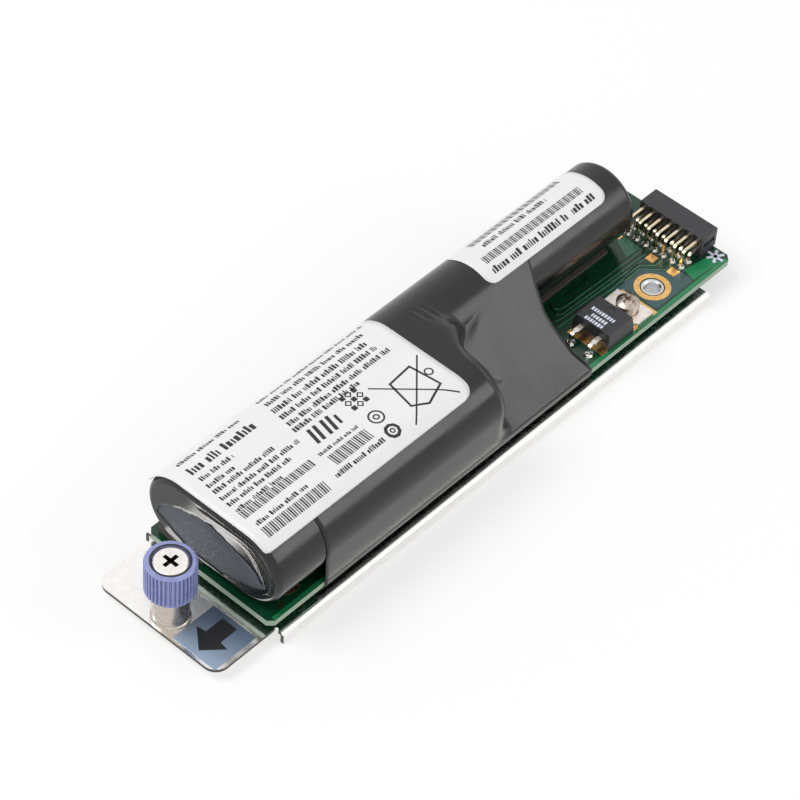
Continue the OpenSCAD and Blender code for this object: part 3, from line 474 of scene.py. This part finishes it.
def fibre_window():
    """Flat lens cut from grey fibre: outline from WINDOW, 0.16 mm thick, filled to the centre."""
    n = 160
    angles = np.arange(n) / n * 2 * pi
    ray = np.stack([np.cos(angles), np.sin(angles)], axis=1)
    edge = polar(WINDOW, angles)
    points = []
    for depth, share in ((0.36, 0.01), (0.36, 1), (0.26, 1), (0.22, 0.99), (0.2, 0.5), (0.2, 0.01)):
        yz = FACE_CENTRE + ray * (edge * share)[:, None]
        points.append(np.column_stack([np.full(n, PACK_X0 + depth), yz]))
    piece("fibre_window", np.vstack(points), grid_faces(6, n, False, True), FIBRE,
          replaces=("front_insulator",))


fibre_window()

# ---- Labels ----


class LabelPath:
    """Arc length s along a label's section, from its near edge to its far edge: round the near
    cell where it has one, over the flat top, and round the far cell."""

    def __init__(self, near_angle, far_angle, near_cell):
        self.near = np.radians(near_angle)
        self.far = np.radians(far_angle)
        self.two = near_cell
        self.curl = (self.near - pi / 2) * LABEL_R
        self.flat = 2 * CELL_Y if near_cell else 0
        self.length = self.curl + self.flat + (pi / 2 - self.far) * LABEL_R

    def at(self, x, s, lift):
        """Points at x and s, lift above the label's lower face, in millimetres."""
        x, s = np.broadcast_arrays(np.asarray(x, float), np.asarray(s, float))
        y_left = -CELL_Y if self.two else CELL_Y
        past = s - self.curl - self.flat
        a = np.where(s < self.curl, pi / 2 + (self.curl - s) / LABEL_R,
                     np.where(past > 0, pi / 2 - past / LABEL_R, pi / 2))
        y0 = np.clip(s - self.curl, 0, self.flat) + y_left
        r = LABEL_R + lift
        return np.stack([x, y0 + r * np.cos(a), CELL_Z + r * np.sin(a)], axis=-1)


def label(name, node, path, x0, x1, corners):
    """Sheet x0 to x1 by the whole path, corners rounded by quarter circles: radii at
    (front near, rear near, front far, rear far)."""
    n, m = 90, 40
    s = np.linspace(0, path.length, n)

    def inset(r_near, r_far):
        near = np.clip(1 - s / r_near, 0, 1)
        far = np.clip(1 - (path.length - s) / r_far, 0, 1)
        return r_near * (1 - np.sqrt(1 - near ** 2)) + r_far * (1 - np.sqrt(1 - far ** 2))

    left = x0 + inset(corners[0], corners[2])
    right = x1 - inset(corners[1], corners[3])
    u = np.linspace(0, 1, m)
    x = left[:, None] + (right - left)[:, None] * u
    points = path.at(x, s[:, None], 0.01)
    obj = piece(name, points.reshape(-1, 3), grid_faces(n, m)[:, ::-1], PAPER, replaces=(node,))
    wall = obj.modifiers.new("wall", "SOLIDIFY")
    wall.thickness, wall.offset = 0.07 * MM, 1.0


RATING = LabelPath(126, 22, True)
SMALL = LabelPath(128, 38, False)
label("rating_label_sheet", "rating_label", RATING, PACK_X0, 77.9, (1.2, 3.0, 1.2, 3.0))
label("small_label_sheet", "small_label", SMALL, 103.7, 143.0, (2.6, 2.6, 2.6, 2.6))

# ---- Print: plain shapes on a surface, none of them a letter or a sign ----


def strip(line, width, closed=False, step=0.8):
    """Quads along a polyline in (u, v), mitred at its corners and split so that none is longer
    than step."""
    line = np.asarray(line, float)
    if closed:
        line = np.vstack([line, line[:1]])
    dense = [line[:1]]
    for a, b in zip(line[:-1], line[1:]):
        parts = max(1, int(np.ceil(np.hypot(*(b - a)) / step)))
        dense.append(a + (b - a) * (np.arange(1, parts + 1) / parts)[:, None])
    p = np.vstack(dense)
    if closed:
        p = p[:-1]
    before = np.roll(p, 1, 0) if closed else np.vstack([2 * p[0] - p[1], p[:-1]])
    after = np.roll(p, -1, 0) if closed else np.vstack([p[1:], 2 * p[-1] - p[-2]])
    a, b = (d / np.hypot(*d.T)[:, None] for d in (p - before, after - p))
    mitre = a + b
    mitre /= np.hypot(*mitre.T)[:, None]
    reach = width / 2 / np.maximum(0.5, (mitre * b).sum(axis=1))
    off = np.column_stack([-mitre[:, 1], mitre[:, 0]]) * reach[:, None]
    left, right, n = p + off, p - off, len(p)
    return [np.array([right[i], right[(i + 1) % n], left[(i + 1) % n], left[i]])
            for i in range(n if closed else n - 1)]


def box(x0, x1, v0, v1):
    """Upright rectangle as a strip along v."""
    return strip([((x0 + x1) / 2, v0), ((x0 + x1) / 2, v1)], x1 - x0)


def circle(x, v, r, n=28):
    """Points of a circle, anticlockwise."""
    a = np.arange(n) / n * 2 * pi
    return np.column_stack([x + r * np.cos(a), v + r * np.sin(a)])


def printed(name, surface, shapes, material, body="module"):
    """Puts flat polygons, given in (u, v), on a surface(u, v) that returns points."""
    points, faces = [], []
    for shape in shapes:
        faces.append(range(len(points), len(points) + len(shape)))
        points.extend(surface(shape[:, 0], shape[:, 1]))
    return piece(name, points, faces, material, body=body, smooth=False)


def on_rating(x, s):
    return RATING.at(x, s, 0.1)


def on_small(x, s):
    return SMALL.at(x, s, 0.1)


def flat_at(z):
    """Surface at height z over the tray's frame."""
    return lambda x, y: np.stack([x, y, np.full_like(x, z)], axis=-1)


rng = np.random.default_rng(7)


def row(x0, x1, v, height):
    """Row of small upright blocks in groups, as small print looks from afar."""
    shapes, x, left = [], x0, 0
    while x < x1 - 0.3 * height:
        if not left:
            left = int(rng.integers(4, 9))
            x += 0.45 * height * (x > x0)
        width = height * float(rng.uniform(0.16, 0.48))
        tall = height * (1.0 if rng.random() < 0.45 else 0.72)
        shapes += box(x, min(x + width, x1), v - height / 2, v - height / 2 + tall)
        x += width + height * 0.17
        left -= 1
    return shapes


def bars(x0, x1, v0, v1):
    """Field of regular upright stripes in three widths."""
    shapes, x, k = [], x0, 0
    while x < x1 - 0.6:
        width = (0.22, 0.4, 0.3)[k % 3]
        shapes += box(x, x + width, v0, v1)
        x += width + (0.26, 0.22, 0.36)[k % 3]
        k += 1
    return shapes


RATING_ROWS = ((19.8, 37.5, 29.2, 1.3), (19.6, 38.3, 25.4, 2.2), (19.8, 29.2, 22.4, 1.2),
               (19.5, 27.2, 20.1, 1.2), (19.3, 36.8, 18.1, 1.2), (19.0, 41.6, 15.9, 1.2),
               (18.9, 37.0, 13.8, 1.2), (18.9, 32.3, 11.6, 1.2), (19.3, 34.0, 6.4, 1.2),
               (44.0, 75.6, 30.4, 1.1), (44.0, 73.0, 27.6, 1.3), (43.4, 71.6, 25.0, 1.4),
               (43.3, 72.2, 22.7, 1.3), (43.0, 73.2, 20.4, 1.3), (42.6, 62.0, 18.4, 1.3),
               (41.4, 53.2, 10.2, 0.9), (39.8, 54.0, 4.1, 1.2))
shapes = []
for entry in RATING_ROWS:
    shapes += row(*entry)
shapes += bars(18.8, 39.8, 8.8, 10.9) + bars(19.0, 37.4, 2.4, 5.0) + bars(42.2, 53.8, 5.7, 8.8)
for i in range(3):                       # square of small squares
    for k in range(3):
        u, v = 56.0 + 1.75 * i, 14.0 + 1.75 * k
        outline = strip(circle(u, v, 0.75, 4), 0.3, True)
        shapes += outline if (i + k) % 2 else box(u - 0.6, u + 0.6, v - 0.6, v + 0.6)
shapes += strip(circle(57.3, 9.2, 1.65), 0.4, True) + strip(circle(57.3, 9.2, 0.6), 0.35, True)
shapes += strip(circle(57.0, 4.4, 1.5, 9), 0.7, True) + strip(circle(57.0, 4.4, 0.5, 9), 0.3, True)
for u in (43.9, 45.5, 47.6, 49.2):       # heavy mark of slanted bars
    shapes += strip([(u, 12.4), (u + 0.9, 16.6)], 0.85)
shapes += strip([(51.2, 13.0), (51.6, 15.6)], 0.7)
shapes += strip([(76.2, 15.1), (61.9, 2.3)], 0.36) + strip([(61.9, 15.7), (75.2, 2.1)], 0.36)
shapes += strip([(66.0, 13.4), (72.6, 14.0), (73.6, 6.2), (68.0, 4.2), (64.6, 6.2)], 0.5, True)
shapes += strip(circle(74.4, 10.2, 0.9, 16), 0.35, True)
printed("rating_print", on_rating, shapes, INK)

shapes = bars(109.4, 138.8, 10.9, 13.0) + row(110.6, 131.0, 9.0, 1.4) + bars(107.0, 139.6, 4.5, 6.5)
shapes += row(106.8, 131.0, 2.6, 1.7) + row(132.8, 140.4, 2.6, 1.7)
printed("small_label_print", on_small, shapes, INK)

ARROW = np.array([(11.25, -12.0), (11.25, -7.9), (6.5, -7.9), (6.15, -5.6), (2.0, -10.3),
                  (6.15, -14.2), (6.5, -12.0)])
printed("sticker_arrow", flat_at(TRAY_TOP + 0.1), [ARROW], INK)

# ---- Copper and print on the board: the lines that show behind the film ----

# Polylines and outlines on the board, (x, y)
TRACE_LINES = [
    [(123.6, 2.9), (123.1, -0.1), (124.2, -1.2), (136.7, -1.6), (150.7, -1.8)],
    [(122.9, 1.4), (122, -1.6), (122.9, -2.3), (135.4, -2.7), (150.6, -3.1)],
    [(120, -2.7), (122.2, -3.1), (134.4, -3.5), (151.2, -4.1)],
    [(119.1, -4.3), (133, -4.7), (136.8, -5), (145.7, -4.5), (147, -4.6), (149.5, -7.1),
     (152.3, -6.9)],
    [(140.8, -5.4), (146.1, -5.3), (150.3, -9.9)]]
DARK_MASK_LINES = [
    [(124.2, 3.2), (133.9, 3.3)],
    [(125.3, 2.9), (134.8, 3.2)],
    [(136.5, 4.6), (136.5, 2.9), (135.3, 1), (127.2, 1.1)]]
AREAS = [
    [(136.7, -5.3), (139.4, -5.7), (146, -5.7), (149.9, -10.3), (151.9, -11.9), (152, -16),
     (138.9, -15.8), (139.3, -10.9), (139.1, -7.7)],
    [(149.4, 4), (151.8, 3.4), (151.2, -1.4), (146.9, -0.7)],
    [(152.9, -12.5), (162.5, -13.9), (160.5, -16.4), (152, -16)]]
RESISTOR_ROWS = ((125.5, -14.4, -7.6), (123.8, -13.6, -8.9), (122.3, -13.7, -8.3))


def upward(area):
    """The polygon's points in anticlockwise order, so that its face looks up."""
    p = np.asarray(area, float)
    q = np.roll(p, -1, 0)
    return p if (p[:, 0] * q[:, 1] - q[:, 0] * p[:, 1]).sum() > 0 else p[::-1]


MASK_TOP = BOARD_TOP + 0.015


def round_hole(area, x, y, r, n=72):
    """Quads between a circle and the outline round it, ray by ray from the circle's centre."""
    d = resample(np.vstack([area, area[:1]]), 400) - (x, y)
    a = np.arctan2(d[:, 1], d[:, 0])
    order = np.argsort(a)
    ray = np.arange(n) / n * 2 * pi
    reach = np.interp(ray, a[order] % (2 * pi), np.hypot(*d.T)[order], period=2 * pi)
    turn = np.stack([np.cos(ray), np.sin(ray)], axis=1)
    inner, outer = turn * r + (x, y), turn * reach[:, None] + (x, y)
    return [np.array([inner[i], outer[i], outer[(i + 1) % n], inner[(i + 1) % n]])
            for i in range(n)]


printed("ground_pour", flat_at(MASK_TOP), round_hole(np.array(AREAS[0]), *REAR_BORE, 3.4),
        POUR)
printed("pale_pour", flat_at(MASK_TOP), [upward(AREAS[1])], TRACE)
border_y, whole = 0.55 - BOARD_HALF, 200    # whole: a step that leaves straight lines unsplit
edge = strip([(BOARD_X0 + 1.3, border_y), (BOARD_X1 - 1.3, border_y)], 1.0, step=whole)
printed("border_copper", flat_at(MASK_TOP), [upward(AREAS[2])] + edge, BORDER)
shapes = []
for line in TRACE_LINES:
    shapes += strip(line, 0.32, step=whole)
printed("traces", flat_at(MASK_TOP + 0.01), shapes, TRACE)
# Darker mask lines: a copy of each trace shifted to one side, and the second list of lines
shapes = []
for line in TRACE_LINES:
    shapes += strip(np.add(line, (0.15, 0.5)), 0.36, step=whole)
for line in DARK_MASK_LINES:
    shapes += strip(line, 0.34, step=whole)
printed("dark_trace_lines", flat_at(MASK_TOP + 0.01), shapes, DARK_MASK)
printed("test_lines", flat_at(MASK_TOP + 0.02),
        box(150.0, 151.5, 4.0, 4.36) + box(153.0, 154.5, 4.0, 4.36), GOLD)
printed("edge_via", flat_at(MASK_TOP + 0.02), strip(circle(19.8, -15.3, 0.55, 20), 0.35, True),
        GOLD)

shapes = []
for k in range(3):                       # six-armed star by the connector
    c, s = 2.1 * cos(pi * k / 3 + 0.5), 2.1 * sin(pi * k / 3 + 0.5)
    shapes += strip([(161.3 - c, -14.7 - s), (161.3 + c, -14.7 + s)], 0.7, step=whole)
printed("board_star", flat_at(MASK_TOP + 0.03), shapes, LEGEND)
shapes = []
for y in (-9.2, -14.3):
    shapes += strip(circle(118.1, y, 0.75, 4), 0.2, True)
printed("lead_squares", flat_at(MASK_TOP + 0.03), shapes, LEGEND)


def board_edge():
    """Cut laminate round the board: a band 0.01 mm outside its eight-sided outline."""
    c, h, out = 1.2, BOARD_HALF + 0.01, 0.01
    x0, x1 = BOARD_X0 - out, BOARD_X1 + out
    plan = [(x0 + c, -h), (x1 - c, -h), (x1, c - h), (x1, h - c), (x1 - c, h), (x0 + c, h),
            (x0, h - c), (x0, c - h)]
    points = [(x, y, z) for z in (BOARD_LOW + 0.06, BOARD_TOP - 0.06) for x, y in plan]
    piece("board_edge", points, grid_faces(2, 8, False, True)[:, ::-1], MASK_EDGE, smooth=False)


board_edge()

# Painted shade: a black ring over the knob's top where the gap round the screw's head lies
printed("head_gap_painted_shade", flat_at(KNOB_TOP + 0.01), strip(circle(SCREW_X, 0, 4.08, 64), 0.5, True, step=whole),
        INK, body="thumbscrew")


def on_film(x, y):
    """Points just over the outer film's top, found by a ray straight down."""
    tops = [film_tree.ray_cast(Vector((u, v, 60)), Vector((0, 0, -1)))[0].z for u, v in zip(x, y)]
    return np.stack([x, y, np.array(tops) + FILM_T + 0.06], axis=-1)


# Painted shade of a deep fold in the film beside the pocket: a black curved patch, wide in its middle
fold_shade = np.array([(92.3, -6.6), (92.0, -7.6), (92.3, -8.6), (93.0, -9.3), (93.9, -9.6), (93.5, -9.9),
                 (92.6, -9.9), (91.7, -9.2), (91.3, -8.2), (91.6, -7.2)])
printed("film_fold_shade", on_film, [upward(fold_shade)], INK)

# Rows of pale print across the resistor's top
shapes = []
for x, y0, y1 in RESISTOR_ROWS:
    y = y0
    while y < y1 - 0.4:
        size = float(rng.uniform(0.35, 0.6))
        shapes += strip([(x - 0.5, y + size / 2), (x + 0.5, y + size / 2)], size, step=whole)
        y += size + 0.25
printed("resistor_print", flat_at(RESISTOR_TOP + 0.02), shapes, LEGEND)

# ---- Floor, light and white background ----

def white_seen_directly(tree, plain, strength=1.0):
    """Mixes plain with white light for the rays that show a backdrop: camera, glossy and
    transmission rays."""
    path = add(tree, "ShaderNodeLightPath").outputs
    seen = add(tree, "ShaderNodeMath", {0: path["Is Camera Ray"], 1: path["Is Glossy Ray"]},
               operation="MAXIMUM").outputs[0]
    seen = add(tree, "ShaderNodeMath", {0: seen, 1: path["Is Transmission Ray"]},
               operation="MAXIMUM").outputs[0]
    share = add(tree, "ShaderNodeMath", {0: seen, 1: strength}, operation="MULTIPLY").outputs[0]
    glow = add(tree, "ShaderNodeEmission", {"Color": (1, 1, 1, 1), "Strength": 1.0})
    return add(tree, "ShaderNodeMixShader", {0: share, 1: plain, 2: glow.outputs[0]}).outputs[0]


floor_mat = bpy.data.materials.new("white studio floor")
floor_mat.use_nodes = True
tree = floor_mat.node_tree
floor_shader = tree.nodes["Principled BSDF"]
floor_shader.inputs["Base Color"].default_value = linear("#f4f4f4")
floor_shader.inputs["Roughness"].default_value = 0.9
tree.links.new(white_seen_directly(tree, floor_shader.outputs[0], 0.6),
               tree.nodes["Material Output"].inputs["Surface"])
FLOOR, FLOOR_Z = 2.5, -0.0003
corners = [(-FLOOR, -FLOOR), (FLOOR, -FLOOR), (FLOOR, FLOOR), (-FLOOR, FLOOR)]
floor_mesh = bpy.data.meshes.new("floor")
floor_mesh.from_pydata([(x, y, FLOOR_Z) for x, y in corners], [], [(0, 1, 2, 3)])
floor_mesh.materials.append(floor_mat)
floor = bpy.data.objects.new("floor", floor_mesh)
scene.collection.objects.link(floor)

world = bpy.data.worlds.new("studio")
scene.world = world
world.use_nodes = True
tree = world.node_tree
sky = tree.nodes["Background"]
sky.inputs["Color"].default_value = (1, 1, 1, 1)
DIFFUSE_LEVEL = 0.62                    # how much less light the sky gives than it shows
path = add(tree, "ShaderNodeLightPath").outputs
seen = add(tree, "ShaderNodeMath", {0: path["Is Camera Ray"], 1: path["Is Glossy Ray"]},
           operation="MAXIMUM").outputs[0]
seen = add(tree, "ShaderNodeMath", {0: seen, 1: path["Is Transmission Ray"]},
           operation="MAXIMUM").outputs[0]
level = add(tree, "ShaderNodeMapRange", {"Value": seen, "To Min": DIFFUSE_LEVEL, "To Max": 1.0})
tree.links.new(level.outputs[0], sky.inputs["Strength"])


def softbox(name, position, target, size, power):
    """Square area lamp at position, facing target, both in metres in the row frame."""
    data = bpy.data.lights.new(name, "AREA")
    data.shape, data.size, data.energy = "SQUARE", size, power
    obj = bpy.data.objects.new(name, data)
    scene.collection.objects.link(obj)
    facing = (Vector(target) - Vector(position)).to_track_quat("-Z", "Y")
    obj.matrix_world = Matrix.Translation(position) @ facing.to_matrix().to_4x4()


softbox("key softbox", (-0.5, 0.5, 1.1), (0, 0, 0), 0.7, 9)
softbox("side softbox", (0.6, -0.9, 0.6), (0, 0, 0), 0.6, 3)

scene.view_settings.view_transform = "Standard"
